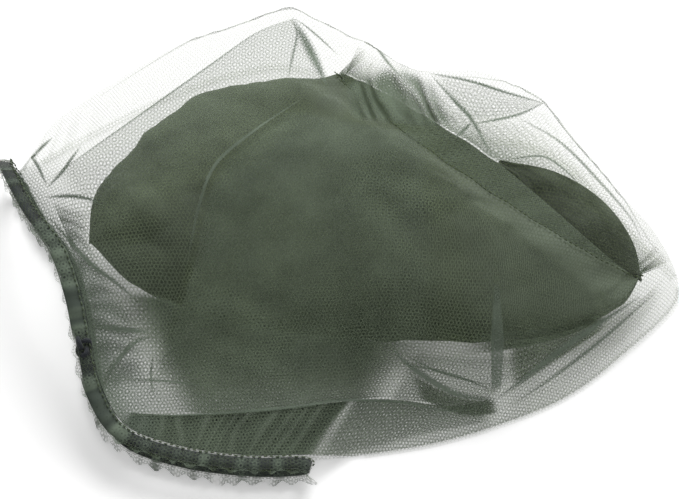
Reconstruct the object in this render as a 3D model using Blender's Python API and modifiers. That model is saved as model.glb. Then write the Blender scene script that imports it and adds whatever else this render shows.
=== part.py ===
"""A beekeeping veil lying on a table, at its real size.

A soft close-woven cap lies inside a bag of fine netting. The bag is an upper and a lower panel
sewn together round their edge. Netting gathered onto the cap's rim ties the cap to the bag, and
the bag's neck ends in a hem: a folded casing round a flat knotted elastic, with a ruffle beyond it.
Units are metres. +Z is up, -Y faces the viewer and +X is to the viewer's right.
"""

import math

import bmesh
import bpy
import numpy as np
from mathutils.bvhtree import BVHTree

for old in list(bpy.data.objects):
    bpy.data.objects.remove(old, do_unlink=True)
PARTS = bpy.data.collections.new("beekeeping_veil")
bpy.context.scene.collection.children.link(PARTS)
VEIL = bpy.data.objects.new("veil", None)
PARTS.objects.link(VEIL)

# The cap as it lies: length along X, depth along Y, height along Z
CAP_LENGTH = 0.280
CAP_DEPTH = 0.130
CAP_HEIGHT = 0.056
CAP_CLOTH = 0.0010

# Room left between the cap and the net round it
HEM_ROOM = 0.038
TIP_ROOM = 0.019
NEAR_ROOM = 0.077
FAR_ROOM = 0.045
TOP_ROOM = 0.032
NET_CLOTH = 0.0008
GATHER_DEPTH = 0.004
GATHER_COUNT = 15
# Powers that round the upper panel at its top and down its side, where it is slack and where full
TOP_POWERS = (1.5, 4.5)
SIDE_POWERS = (1.6, 0.5)
# The gathers fade to nothing at the top and the edge, the folds only close to the edge
GATHER_PEAK = 4 / 27
FOLD_FADE = 6.0

# The neck hem
LIP_RISE = 0.041
LIP_GAP = 0.012
LIP_INSET = 0.004
LIP_LEAN = 0.030
NEAR_TURN = 0.6
HEM_LIFT = 0.0058
ELASTIC_WIDTH = 0.006
ELASTIC_THICKNESS = 0.0012
CASING_CLOTH = 0.0006
CASING_EASE = 0.0008
CASING_PUFF = 0.0007
CASING_PUFFS = 34
CASING_OPENING = 0.014
RUFFLE_WIDTH = 0.005
RUFFLE_CLOTH = 0.0006
RUFFLE_WAVE = 0.0013
KNOT_LENGTH = 0.010
KNOT_RADIUS = 0.0030
KNOT_FLATNESS = 0.9
KNOT_WAIST_DEPTH = 0.22
KNOT_WAIST_LENGTH = 0.28
THREAD_RADIUS = 0.0004
STITCH_INSET = 0.0010

# The edge seam and the fit between pieces
SEAM_WIDTH = 0.004
SEAM_THICKNESS = 0.0014
SEAM_START = 0.01
SEAM_STEP = 0.004
SEAT_GAP = 0.0003
SEW_GAP = 0.0008
TURN_CLEAR = 0.003
TURN_FLARE = 0.6

# Facets
NET_LIP_COLUMNS = 22
NET_EDGE_COLUMNS = 44
NET_ROWS = 9
LOWER_ROWS = 4
CAP_ROWS = 11
HEM_ROWS = 136
SEAM_ROWS = 44
TURN_ROWS = 4
CAP_COLUMNS = 36
KNOT_COLUMNS = 14
KNOT_ROWS = 12
SPAN_POINTS = 16
NET_ROW_CROWDING = 1.5
CAP_ROW_CROWDING = 1.2
LEAST_ROW = 0.2
WELD = 0.00002
SLIVER = 0.00001

# Height of the cap's lowest cloth, which rests on the lower panel
CAP_BASE = NET_CLOTH + SEAT_GAP + CAP_CLOTH / 2

# Sides of the space that the net fills, from the cap and the room round it
NET_LOW = np.array((-CAP_LENGTH / 2 - HEM_ROOM, -CAP_DEPTH / 2 - NEAR_ROOM, 0.0))
NET_HIGH = np.array((
    CAP_LENGTH / 2 + TIP_ROOM,
    CAP_DEPTH / 2 + FAR_ROOM,
    CAP_BASE + CAP_HEIGHT + TOP_ROOM,
))
PANEL_EDGE_HEIGHT = NET_CLOTH * 1.5 + SEAT_GAP

# The elastic along the upper lip of the neck, from its far corner to its near one:
# share of the net's length, share of its depth, share of the lip's rise, fullness of the net above it
UPPER_LIP = (
    (0.004, 0.590, 0.90, 0.50),
    (0.037, 0.484, 1.00, 0.45),
    (0.077, 0.401, 0.96, 0.40),
    (0.101, 0.313, 0.76, 0.30),
    (0.116, 0.226, 0.46, 0.20),
    (0.132, 0.149, 0.18, 0.12),
    (0.172, 0.070, 0.02, 0.06),
    (0.256, 0.022, 0.00, 0.05),
    (0.353, 0.000, 0.00, 0.05),
    (0.425, 0.000, 0.00, 0.08),
)
KNOT_SHARE = 0.245

# The net's outer edge on the table, from the near end of the neck round to the far end:
# share of the length, share of the depth, and how full the panel stands above that edge
NET_EDGE = (
    (0.510, 0.060, 0.20),
    (0.628, 0.090, 0.35),
    (0.726, 0.135, 0.42),
    (0.821, 0.198, 0.48),
    (0.900, 0.290, 0.60),
    (0.994, 0.444, 0.85),
    (0.945, 0.556, 0.95),
    (0.875, 0.683, 1.00),
    (0.827, 0.762, 1.00),
    (0.768, 0.810, 1.00),
    (0.628, 0.840, 1.00),
    (0.533, 0.930, 1.00),
    (0.420, 1.000, 1.00),
    (0.324, 0.964, 1.00),
    (0.232, 0.889, 0.95),
    (0.125, 0.786, 0.85),
    (0.070, 0.745, 0.60),
)
TIP_SHARE = 0.345
SEAM_BREAK = 0.004

# Folds that stand up in the upper panel: height, half width, and the line of the fold in plan
# as shares of the net's length and depth
NET_FOLDS = (
    (0.011, 0.013, ((0.100, 0.500), (0.215, 0.630), (0.330, 0.760), (0.420, 0.880))),
    (0.008, 0.011, ((0.600, 0.700), (0.700, 0.730), (0.790, 0.710))),
    (0.007, 0.009, ((0.722, 0.400), (0.728, 0.280), (0.724, 0.170))),
)
NET_TOP = (0.464, 0.640)
LOWER_MIDDLE = (0.640, 0.500)
NECK_FOCUS = (0.560, 0.590, 0.22)

# Rings of the cap from its rim to its closed end. Each has its middle, half of its long way and
# half of its short way, as shares of the cap's length, depth and height.
CAP_RINGS = (
    ((0.223, 0.150, 0.590), (0.268, -0.375, -0.290), (0.000, 0.135, -0.165)),
    ((0.184, 0.073, 0.570), (0.271, -0.435, -0.320), (0.000, 0.085, -0.290)),
    ((0.120, 0.046, 0.540), (0.279, -0.460, -0.360), (0.000, 0.023, -0.375)),
    ((-0.014, -0.008, 0.500), (0.238, -0.470, -0.360), (0.000, 0.000, -0.370)),
    ((-0.191, -0.065, 0.464), (0.168, -0.420, -0.320), (0.000, 0.000, -0.340)),
    ((-0.348, -0.108, 0.410), (0.089, -0.308, -0.230), (0.000, 0.000, -0.270)),
    ((-0.439, -0.108, 0.390), (0.038, -0.170, -0.125), (0.000, 0.000, -0.180)),
)
CAP_END = (-0.491, -0.108, 0.375)


def srgb(code):
    """Linear colour from a six-digit sRGB code."""
    parts = [int(code[at:at + 2], 16) / 255 for at in (0, 2, 4)]
    return [p / 12.92 if p <= 0.04045 else ((p + 0.055) / 1.055) ** 2.4 for p in parts]


def make_material(name, code, roughness):
    material = bpy.data.materials.new(name)
    material.use_nodes = True
    shader = material.node_tree.nodes["Principled BSDF"]
    shader.inputs["Base Color"].default_value = (*srgb(code), 1.0)
    shader.inputs["Roughness"].default_value = roughness
    shader.inputs["Metallic"].default_value = 0.0
    return material


def unit(vectors):
    return vectors / np.linalg.norm(vectors, axis=-1, keepdims=True)


def smooth_line(points, closed=False):
    """Points along a smooth curve through the given ones, SPAN_POINTS to a span."""
    points = np.asarray(points, float)
    if closed:
        padded = np.vstack((points[-1], points, points[:2]))
    else:
        padded = np.vstack((2 * points[0] - points[1], points, 2 * points[-1] - points[-2]))
    share = np.linspace(0.0, 1.0, SPAN_POINTS, endpoint=False)[:, None]
    spans = []
    for a, b, c, d in zip(padded, padded[1:], padded[2:], padded[3:]):
        spans.append(0.5 * (
            2 * b + (c - a) * share + (2 * a - 5 * b + 4 * c - d) * share ** 2
            + (3 * b - a - 3 * c + d) * share ** 3
        ))
    line = np.vstack(spans)
    return line if closed else np.vstack((line, points[-1]))


def lengths_along(line):
    steps = np.linalg.norm(np.diff(line[:, :3], axis=0), axis=1)
    return np.concatenate(([0.0], np.cumsum(steps)))


def sample(values, travelled, at):
    """Each column of values read at the given distances."""
    return np.stack([np.interp(at, travelled, column) for column in values.T], axis=-1)


def even_points(line, count):
    travelled = lengths_along(line)
    return sample(line, travelled, np.linspace(0.0, travelled[-1], count))


def net_place(length_share, depth_share):
    return NET_LOW[:2] + (NET_HIGH - NET_LOW)[:2] * np.array((length_share, depth_share))


class Neck:
    """The elastic's closed line, with the net's way out of the neck and the inward way at each point."""

    def __init__(self):
        line = smooth_line(self.corners(), closed=True)
        self.line = np.vstack((line, line[:1]))
        self.travelled = lengths_along(self.line)
        self.length = self.travelled[-1]
        away = line - np.array((*net_place(*NECK_FOCUS[:2]), NECK_FOCUS[2] * NET_HIGH[2]))
        along = unit(np.roll(line, -1, axis=0) - np.roll(line, 1, axis=0))
        out = unit(away - np.sum(away * along, axis=1, keepdims=True) * along)
        inward = np.cross(along, out)
        self.along, self.out, self.inward = (np.vstack((way, way[:1])) for way in (along, out, inward))
        lips = len(UPPER_LIP)
        self.corner_shares = self.travelled[::SPAN_POINTS] / self.length
        self.upper_shares = self.corner_shares[1:lips + 1]
        self.lower_shares = self.corner_shares[lips + 2:2 * lips + 2]

    @staticmethod
    def corners():
        """The far turn, the upper lip, the near turn, and the lower lip, further back where the ring leans."""
        base = HEM_LIFT + LIP_GAP
        upper = np.array([(*net_place(u, v), base + LIP_RISE * rise) for u, v, rise, _ in UPPER_LIP])
        middle = net_place(*NECK_FOCUS[:2])
        lower = upper.copy()
        lower[:, :2] += unit(middle - upper[:, :2]) * LIP_INSET
        lower[:, 1] += LIP_LEAN * np.array([rise for _, _, rise, _ in UPPER_LIP])
        lower[:, 2] = HEM_LIFT
        near_turn = (upper[-1] + lower[-1]) / 2 + unit(upper[-1] - upper[-2]) * LIP_GAP * NEAR_TURN
        far_turn = (upper[0] + lower[0]) / 2 + unit(upper[0] - upper[1]) * LIP_GAP
        return np.vstack((far_turn, upper, near_turn, lower[::-1]))

    def read(self, share):
        at = np.mod(share, 1.0) * self.length
        ways = (self.line, self.along, self.out, self.inward)
        return [sample(way, self.travelled, at) for way in ways]

    def point(self, share, out, inward):
        place, _, out_way, inward_way = self.read(share)
        return place + out * out_way + inward * inward_way


NECK = Neck()
CASING_HALF_WIDTH = ELASTIC_WIDTH / 2 + CASING_EASE
CASING_HALF_HEIGHT = ELASTIC_THICKNESS / 2 + SEAT_GAP
PANEL_INSET = CASING_HALF_WIDTH + SEW_GAP


def puff(share):
    """How far the gathered casing stands off the elastic."""
    return CASING_PUFF * (0.5 + 0.5 * math.cos(2 * math.pi * CASING_PUFFS * share))


def lip_points(shares):
    """The edge of a net panel along the casing, at shares of the way round the neck."""
    return np.array([NECK.point(share, -PANEL_INSET, 0.0) for share in shares])


TABLE_EDGE = smooth_line([(*net_place(u, v), PANEL_EDGE_HEIGHT, full) for u, v, full in NET_EDGE])


def upper_edge():
    """The upper panel's whole edge: the raised lip, then the edge on the table."""
    shares = np.linspace(NECK.upper_shares[0], NECK.upper_shares[-1], NET_LIP_COLUMNS)
    full = np.interp(shares, NECK.upper_shares, [point[3] for point in UPPER_LIP])
    lip = np.column_stack((lip_points(shares), full))
    return np.vstack((lip, even_points(TABLE_EDGE, NET_EDGE_COLUMNS)))


def fold_rise(plan):
    """How far the standing folds lift the panel at each point of the plan."""
    rise = np.zeros(len(plan))
    for height, half_width, line in NET_FOLDS:
        path = smooth_line([net_place(u, v) for u, v in line])
        off = np.linalg.norm(plan[:, None, :] - path[None, :, :], axis=2).min(axis=1)
        rise = np.maximum(rise, height * np.exp(-(off / half_width) ** 2))
    return rise


def upper_net_points():
    """Rows of points from the top of the net (row 0) out to its edge."""
    edge = upper_edge()
    full = edge[:, 3]
    top = np.array((*net_place(*NET_TOP), NET_HIGH[2] - NET_CLOTH / 2))
    top_power = np.interp(full, (0.0, 1.0), TOP_POWERS)
    side_power = np.interp(full, (0.0, 1.0), SIDE_POWERS)
    turn = np.arange(len(edge)) / len(edge)
    gathers = GATHER_DEPTH * (1.0 - np.cos(2 * math.pi * GATHER_COUNT * turn)) / 2
    rows = []
    for share in np.linspace(0.0, 1.0, NET_ROWS + 1):
        reach = 1.0 - (1.0 - share) ** NET_ROW_CROWDING
        height = (1.0 - reach ** top_power) ** side_power
        plan = top[:2] + (edge[:, :2] - top[:2]) * reach
        rise = edge[:, 2] + (top[2] - edge[:, 2]) * height
        rise -= gathers * reach ** 2 * (1.0 - reach) / GATHER_PEAK
        rise += fold_rise(plan) * min(1.0, (1.0 - reach) * FOLD_FADE)
        rows.append(np.column_stack((plan, np.minimum(rise, top[2]))))
    return np.array(rows)


UPPER_NET = upper_net_points()


def grid(place, columns, rows):
    """A grid of quads, each point moved to place(column, row)."""
    shape = bmesh.new()
    bmesh.ops.create_grid(shape, x_segments=columns, y_segments=rows, size=0.5)
    for vertex in shape.verts:
        column = round((vertex.co.x + 0.5) * columns)
        row = round((vertex.co.y + 0.5) * rows)
        vertex.co = place(column, row)
    return shape


def add_piece(name, shape, material, cloth=0.0):
    """Weld a bmesh, turn its faces out and make it a named object, with Solidify on a cloth."""
    bmesh.ops.remove_doubles(shape, verts=shape.verts, dist=WELD)
    bmesh.ops.dissolve_degenerate(shape, edges=shape.edges, dist=SLIVER)
    bmesh.ops.recalc_face_normals(shape, faces=shape.faces)
    bmesh.ops.triangulate(shape, faces=shape.faces)
    mesh = bpy.data.meshes.new(name)
    shape.to_mesh(mesh)
    shape.free()
    mesh.materials.append(material)
    mesh.shade_smooth()
    piece = bpy.data.objects.new(name, mesh)
    PARTS.objects.link(piece)
    piece.parent = VEIL
    if cloth:
        wall = piece.modifiers.new("cloth", "SOLIDIFY")
        wall.thickness = cloth
        wall.offset = 0.0
    return piece


def close_ends(shape):
    """Close the open ends of a swept strip."""
    open_edges = [edge for edge in shape.edges if edge.is_boundary]
    bmesh.ops.holes_fill(shape, edges=open_edges, sides=0)


def sweep(section, shares, place):
    """A strip with a closed section of (out, up) points carried along a line."""
    rings = [[place(share, out, up) for out, up in section(share)] for share in shares]
    corners = len(rings[0])
    shape = grid(lambda column, row: rings[row][column % corners], corners, len(rings) - 1)
    bmesh.ops.remove_doubles(shape, verts=shape.verts, dist=WELD)
    close_ends(shape)
    return shape


def thread(name, points, material):
    """A sewing thread laid along a closed line of points."""
    curve = bpy.data.curves.new(name, "CURVE")
    curve.dimensions = "3D"
    curve.bevel_depth = THREAD_RADIUS
    curve.bevel_resolution = 0
    spline = curve.splines.new("POLY")
    spline.points.add(len(points) - 1)
    for knot, point in zip(spline.points, points):
        knot.co = (*point, 1.0)
    spline.use_cyclic_u = True
    curve.materials.append(material)
    piece = bpy.data.objects.new(name, curve)
    PARTS.objects.link(piece)
    piece.parent = VEIL
    return piece


def net_upper_panel(material):
    columns = UPPER_NET.shape[1]
    shape = grid(lambda column, row: UPPER_NET[row, column % columns], columns, NET_ROWS)
    return add_piece("net_upper_panel", shape, material, NET_CLOTH)


def net_lower_panel(material):
    """The panel on the table. It lifts only where it runs up to the neck's hidden lip."""
    flat_height = NET_CLOTH / 2
    edge = even_points(TABLE_EDGE, NET_EDGE_COLUMNS)[:, :3]
    edge[:, 2] = flat_height
    shares = np.linspace(NECK.lower_shares[-1], NECK.lower_shares[0], NET_LIP_COLUMNS)
    edge = np.vstack((edge, lip_points(shares)))
    middle = np.array((*net_place(*LOWER_MIDDLE), flat_height))

    def place(column, row):
        reach = row / LOWER_ROWS
        point = middle + (edge[column % len(edge)] - middle) * reach
        if row < LOWER_ROWS:
            point[2] = flat_height
        return point

    return add_piece("net_lower_panel", grid(place, len(edge), LOWER_ROWS), material, NET_CLOTH)


def cap_ring(share):
    """Middle, half long way and half short way of the cap at a share of its length from the rim."""
    spread = np.array((CAP_LENGTH, CAP_DEPTH, CAP_HEIGHT))
    rings = [np.concatenate([np.array(part) * spread for part in ring]) for ring in CAP_RINGS]
    end = np.concatenate((np.array(CAP_END) * spread, np.zeros(6)))
    line = smooth_line([*rings, end])
    values = sample(line, np.linspace(0.0, 1.0, len(line)), share)
    return values[:3], values[3:6], values[6:9]


def cap_points():
    """Rows of points round the cap, from its rim (row 0) to its closed end."""
    turns = np.linspace(0.0, 2 * math.pi, CAP_COLUMNS, endpoint=False)[:, None]
    rows = []
    for step in np.linspace(0.0, 1.0, CAP_ROWS + 1):
        middle, long_way, short_way = cap_ring(1.0 - (1.0 - step) ** CAP_ROW_CROWDING)
        rows.append(middle + np.cos(turns) * long_way + np.sin(turns) * short_way)
    points = np.array(rows)
    points[..., 2] += CAP_BASE - points[..., 2].min()
    return points


CAP = cap_points()
RIM = CAP[0]
RIM_DOWN = unit(CAP[1] - CAP[0])


def rim_outward():
    """At each rim point, the step that stands one unit off both facets beside it."""
    round_rim = unit(np.roll(RIM, -1, axis=0) - RIM)
    facet = unit(np.cross(RIM_DOWN + np.roll(RIM_DOWN, -1, axis=0), round_rim))
    facet = facet * np.sign(np.sum(facet * (RIM - RIM.mean(axis=0))))
    before = np.roll(facet, 1, axis=0)
    return (facet + before) / (1.0 + np.sum(facet * before, axis=1, keepdims=True))


RIM_OUT = rim_outward()


def cap_crown(material):
    shape = grid(lambda column, row: CAP[row, column % CAP_COLUMNS], CAP_COLUMNS, CAP_ROWS)
    return add_piece("cap_crown", shape, material, CAP_CLOTH)


def net_turn_in(material, panels):
    """Netting sewn to the cap's rim, running out until it nearly meets the bag round it."""
    bpy.context.view_layer.update()
    graph = bpy.context.evaluated_depsgraph_get()
    walls = [BVHTree.FromObject(panel, graph) for panel in panels]
    start = RIM - RIM_DOWN * SEW_GAP
    ways = unit(RIM_OUT * TURN_FLARE - RIM_DOWN)
    runs = []
    for point, way in zip(start, ways):
        hits = [wall.ray_cast(point, way)[3] for wall in walls]
        runs.append(min(hit for hit in hits if hit) - TURN_CLEAR)

    def place(column, row):
        at = column % CAP_COLUMNS
        return start[at] + ways[at] * runs[at] * row / TURN_ROWS

    return add_piece("net_turn_in", grid(place, CAP_COLUMNS, TURN_ROWS), material, NET_CLOTH)


def shares_round_neck(opening):
    """Shares of the way round the neck, from one side of an opening at the knot to the other."""
    start = KNOT_SHARE + opening / NECK.length / 2
    end = KNOT_SHARE + 1.0 - opening / NECK.length / 2
    between = np.arange(2 * HEM_ROWS) / HEM_ROWS
    least_step = LEAST_ROW / HEM_ROWS
    between = between[(between > start + least_step) & (between < end - least_step)]
    return np.concatenate(([start], between, [end]))


def hem_pieces(net, elastic, sewing):
    half_width = CASING_HALF_WIDTH
    half_height = CASING_HALF_HEIGHT
    wall = CASING_CLOTH

    def casing_section(share):
        rise = half_height + puff(share)
        return (
            (-half_width, rise + wall), (half_width + wall, rise + wall),
            (half_width + wall, -rise - wall), (-half_width, -rise - wall),
            (-half_width, -rise), (half_width, -rise), (half_width, rise), (-half_width, rise),
        )

    casing_shares = shares_round_neck(CASING_OPENING)
    add_piece("hem_casing", sweep(casing_section, casing_shares, NECK.point), net)

    ruffle_start = half_width + wall + SEW_GAP
    ring_shares = np.arange(HEM_ROWS) / HEM_ROWS

    def ruffle_place(column, row):
        share = ring_shares[row % HEM_ROWS]
        wave = RUFFLE_WAVE * math.sin(2 * math.pi * CASING_PUFFS * share)
        return NECK.point(share, ruffle_start + column * RUFFLE_WIDTH, column * wave)

    add_piece("hem_ruffle", grid(ruffle_place, 1, HEM_ROWS), net, RUFFLE_CLOTH)

    def elastic_section(share):
        out = ELASTIC_WIDTH / 2
        up = ELASTIC_THICKNESS / 2
        return ((-out, -up), (out, -up), (out, up), (-out, up))

    elastic_shares = shares_round_neck(KNOT_LENGTH + 2 * SEAT_GAP)
    add_piece("neck_elastic", sweep(elastic_section, elastic_shares, NECK.point), elastic)

    def stitch_point(share):
        off = half_height + puff(share) + wall + SEAT_GAP + THREAD_RADIUS
        return NECK.point(share, STITCH_INSET - half_width, -off)

    thread("hem_stitching", [stitch_point(share) for share in ring_shares], sewing)


def elastic_knot(material):
    """The knot that joins the elastic's two ends: two wraps side by side."""
    place, along, out, inward = NECK.read(KNOT_SHARE)
    shape = bmesh.new()
    bmesh.ops.create_uvsphere(shape, u_segments=KNOT_COLUMNS, v_segments=KNOT_ROWS, radius=1.0)
    for vertex in shape.verts:
        run = vertex.co.z
        waist = 1.0 - KNOT_WAIST_DEPTH * math.exp(-(run / KNOT_WAIST_LENGTH) ** 2)
        across = vertex.co.x * KNOT_RADIUS * waist
        up = vertex.co.y * KNOT_RADIUS * waist * KNOT_FLATNESS
        vertex.co = place + along * run * KNOT_LENGTH / 2 + out * across + inward * up
    return add_piece("elastic_knot", shape, material)


def side_seam(name, start, end, material):
    """The overlocked edge where the two net panels are sewn together."""
    travelled = lengths_along(TABLE_EDGE)
    middle = net_place(*NET_TOP)

    def point(share, out, up):
        place = sample(TABLE_EDGE[:, :3], travelled, share * travelled[-1])
        before = sample(TABLE_EDGE[:, :3], travelled, (share - SEAM_STEP) * travelled[-1])
        after = sample(TABLE_EDGE[:, :3], travelled, (share + SEAM_STEP) * travelled[-1])
        along = after - before
        away = np.array((along[1], -along[0], 0.0))
        away = away / np.linalg.norm(away)
        away = away * np.sign(np.dot(away[:2], place[:2] - middle))
        place[2] = SEAM_THICKNESS / 2
        return place + away * out + np.array((0.0, 0.0, up))

    inner = NET_CLOTH / 2 + SEAT_GAP
    half = SEAM_THICKNESS / 2
    section = ((inner, -half), (inner + SEAM_WIDTH, -half), (inner + SEAM_WIDTH, half), (inner, half))
    shares = np.linspace(start, end, SEAM_ROWS)
    return add_piece(name, sweep(lambda share: section, shares, point), material)


def rim_stitching(material):
    """The thread round the cap's rim that holds the netting."""
    off_cap = CAP_CLOTH / 2 + SEAT_GAP + THREAD_RADIUS
    return thread("rim_stitching", RIM + RIM_OUT * off_cap + RIM_DOWN * STITCH_INSET, material)


def centre_on_origin():
    """Move the whole veil so that the middle of its lowest face is the origin."""
    bpy.context.view_layer.update()
    graph = bpy.context.evaluated_depsgraph_get()
    corners = []
    for piece in PARTS.objects:
        if piece.type in {"MESH", "CURVE"}:
            ready = piece.evaluated_get(graph)
            mesh = ready.to_mesh()
            points = np.empty(len(mesh.vertices) * 3)
            mesh.vertices.foreach_get("co", points)
            points = points.reshape(-1, 3)
            corners.extend((points.min(axis=0), points.max(axis=0)))
            ready.to_mesh_clear()
    low = np.min(corners, axis=0)
    high = np.max(corners, axis=0)
    VEIL.location = (-(low[0] + high[0]) / 2, -(low[1] + high[1]) / 2, -low[2])
    print("veil measures", np.round((high - low) * 1000, 1), "mm, moved by", VEIL.location[:])
    print("neck elastic runs", round(NECK.length * 1000, 1), "mm round")


OLIVE_NET = make_material("olive_net", "6B7A5A", 0.75)
OLIVE_CLOTH = make_material("olive_cloth", "66735A", 0.85)
BLACK_ELASTIC = make_material("black_elastic", "2A2E33", 0.70)
OLIVE_THREAD = make_material("olive_thread", "55614A", 0.65)

BAG = (net_upper_panel(OLIVE_NET), net_lower_panel(OLIVE_NET))
cap_crown(OLIVE_CLOTH)
net_turn_in(OLIVE_NET, BAG)
rim_stitching(OLIVE_THREAD)
hem_pieces(OLIVE_NET, BLACK_ELASTIC, OLIVE_THREAD)
elastic_knot(BLACK_ELASTIC)
side_seam("near_side_seam", SEAM_START, TIP_SHARE - SEAM_BREAK, OLIVE_THREAD)
side_seam("far_side_seam", TIP_SHARE + SEAM_BREAK, 1.0 - SEAM_START, OLIVE_THREAD)
centre_on_origin()
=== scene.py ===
# %% [markdown]
# # A beekeeping veil lying on a white table
# The veil is a bag of fine olive net. A close-woven cap lies inside it, and the neck of the bag ends in
# a gathered hem with a flat black elastic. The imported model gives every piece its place, and this script
# puts cloth there for each plain solid. Only the bag's far side stands further out than its solid.

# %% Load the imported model
import math
from functools import partial

import bmesh
import bpy
import numpy as np
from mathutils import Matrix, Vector, noise
from mathutils.bvhtree import BVHTree


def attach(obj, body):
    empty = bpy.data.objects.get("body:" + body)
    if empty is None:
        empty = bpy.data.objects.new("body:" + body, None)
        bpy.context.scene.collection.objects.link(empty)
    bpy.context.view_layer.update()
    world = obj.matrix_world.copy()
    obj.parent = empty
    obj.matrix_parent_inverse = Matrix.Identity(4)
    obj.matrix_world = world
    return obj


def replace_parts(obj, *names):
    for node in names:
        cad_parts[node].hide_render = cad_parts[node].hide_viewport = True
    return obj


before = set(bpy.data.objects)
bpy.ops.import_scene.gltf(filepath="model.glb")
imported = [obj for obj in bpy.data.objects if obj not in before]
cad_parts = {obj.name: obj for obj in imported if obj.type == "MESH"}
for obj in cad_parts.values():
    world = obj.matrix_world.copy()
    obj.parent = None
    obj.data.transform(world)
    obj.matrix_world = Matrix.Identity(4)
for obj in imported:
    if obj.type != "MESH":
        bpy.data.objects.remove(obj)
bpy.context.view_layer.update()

# %% [markdown]
# ## The view
# The photograph looks down at the veil from its near side, through a long lens, and one picture point is
# half a millimetre at the veil. Sight lines later lay plies of net where the photograph shows them. Many
# plies lie behind each other, so rays may pass more clear layers than by default.

# %% Camera
PICTURE = (679, 499)
POINT = 0.0005
ELEVATION = math.radians(55)
DISTANCE = 6.0
SENSOR = 36.0
CLEAR_LAYERS = 96
AIM = Vector((0.0016, 0.0178, 0.0))
SIGHT = Vector((0.0, math.cos(ELEVATION), -math.sin(ELEVATION)))
PICTURE_UP = Vector((0.0, math.sin(ELEVATION), math.cos(ELEVATION)))
EYE = AIM - SIGHT * DISTANCE


def add_object(name, data):
    made = bpy.data.objects.new(name, data)
    bpy.context.scene.collection.objects.link(made)
    return made


def sight_line(across, down):
    """The way from the eye through a point of the picture."""
    aside = Vector(((across - PICTURE[0] / 2) * POINT, 0.0, 0.0))
    way = SIGHT * DISTANCE + aside + PICTURE_UP * ((PICTURE[1] / 2 - down) * POINT)
    return way.normalized()


lens = bpy.data.cameras.new("camera")
lens.sensor_width = SENSOR
lens.lens = SENSOR * DISTANCE / (PICTURE[0] * POINT)
camera = add_object("camera", lens)
camera.location = EYE
camera.rotation_euler = (math.pi / 2 - ELEVATION, 0.0, 0.0)
bpy.context.scene.camera = camera
bpy.context.scene.cycles.transparent_max_bounces = CLEAR_LAYERS
print("lens", round(lens.lens), "mm")

# %% [markdown]
# ## Colours and nodes
# Colours are written as sRGB codes, as a picker shows them, and made linear here once. One helper adds a
# node with its settings and links, so every material below reads as a short list. Where a node is given as
# an input, its first output is meant.

# %% Colour and node helpers


def srgb(code):
    parts = [int(code[at:at + 2], 16) / 255 for at in (1, 3, 5)]
    return (*[p / 12.92 if p <= 0.04045 else ((p + 0.055) / 1.055) ** 2.4 for p in parts], 1.0)


def fill_inputs(material, node, inputs):
    """Set each input of a node to a value, or link it to another node or to one output of a node."""
    for name, value in inputs.items():
        if isinstance(value, bpy.types.Node):
            value = value.outputs[0]
        if isinstance(value, bpy.types.NodeSocket):
            material.node_tree.links.new(value, node.inputs[name])
        else:
            node.inputs[name].default_value = value


def add_node(material, kind, inputs=None, **settings):
    """Add a node of a kind, set its properties and then its inputs."""
    node = material.node_tree.nodes.new("ShaderNode" + kind)
    for name, value in settings.items():
        setattr(node, name, value)
    fill_inputs(material, node, inputs or {})
    return node


def new_material(name):
    material = bpy.data.materials.new(name)
    material.use_nodes = True
    return material, material.node_tree.nodes["Principled BSDF"]


def fill_ramp(ramp, stops):
    """Set a colour ramp to the given places and linear colours, in order."""
    for place, _ in stops[1:-1]:
        ramp.elements.new(place)
    for element, (place, colour) in zip(ramp.elements, stops):
        element.position = place
        element.color = (*colour, 1.0)


print("mid grey is", round(srgb("#808080")[0], 3), "in linear light")

# %% [markdown]
# ## Table
# The table is plain white and keeps the soft shadow. It shows a little brighter to the camera than the
# light makes it, so that it reads as a white page. The lift works only for rays that show the page, so it
# adds no light to the veil.

# %% Table
PAGE_LIFT = 0.33
TABLE_HALF = 4.0
TABLE_DROP = 0.0002
WHITE = (1.0, 1.0, 1.0, 1.0)


def page_rays(material):
    """One for the rays that show the white page: seen straight, in a gloss or through glass."""
    rays = add_node(material, "LightPath").outputs
    straight, glossy, through = [rays[f"Is {way} Ray"] for way in ("Camera", "Glossy", "Transmission")]
    shown = add_node(material, "Math", {0: straight, 1: glossy}, operation="MAXIMUM")
    return add_node(material, "Math", {0: shown, 1: through}, operation="MAXIMUM")


def mesh_object(name, shape, material):
    mesh = bpy.data.meshes.new(name)
    shape.to_mesh(mesh)
    shape.free()
    mesh.materials.append(material)
    return add_object(name, mesh)


white_table, shader = new_material("white painted table")
lift = add_node(white_table, "Math", {0: page_rays(white_table), 1: PAGE_LIFT}, operation="MULTIPLY")
fill_inputs(white_table, shader, {"Base Color": srgb("#F2F2F2"), "Roughness": 0.9, "Specular IOR Level": 0.0,
                                  "Emission Color": WHITE, "Emission Strength": lift})

shape = bmesh.new()
bmesh.ops.create_grid(shape, x_segments=1, y_segments=1, size=TABLE_HALF)
table = mesh_object("table", shape, white_table)
table.location = (0.0, 0.0, -TABLE_DROP)
print("table", 2 * TABLE_HALF, "m wide")

# %% [markdown]
# ## Light
# A large soft lamp stands high on the far side, because the photograph's shadow falls towards the viewer.
# The pale room round it is the world, which shows as pure white wherever the table ends.

# %% Light
ROOM_LIGHT = 0.42
LAMP_PLACE = Vector((0.50, 2.10, 2.30))
LAMP_SIZE = 2.0
LAMP_POWER = 86.0
world = bpy.data.worlds.new("studio")
bpy.context.scene.world = world
world.use_nodes = True
sky = add_node(world, "MapRange", {"Value": page_rays(world), "To Min": ROOM_LIGHT, "To Max": 1.0})
fill_inputs(world, world.node_tree.nodes["Background"], {"Color": WHITE, "Strength": sky})

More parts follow.
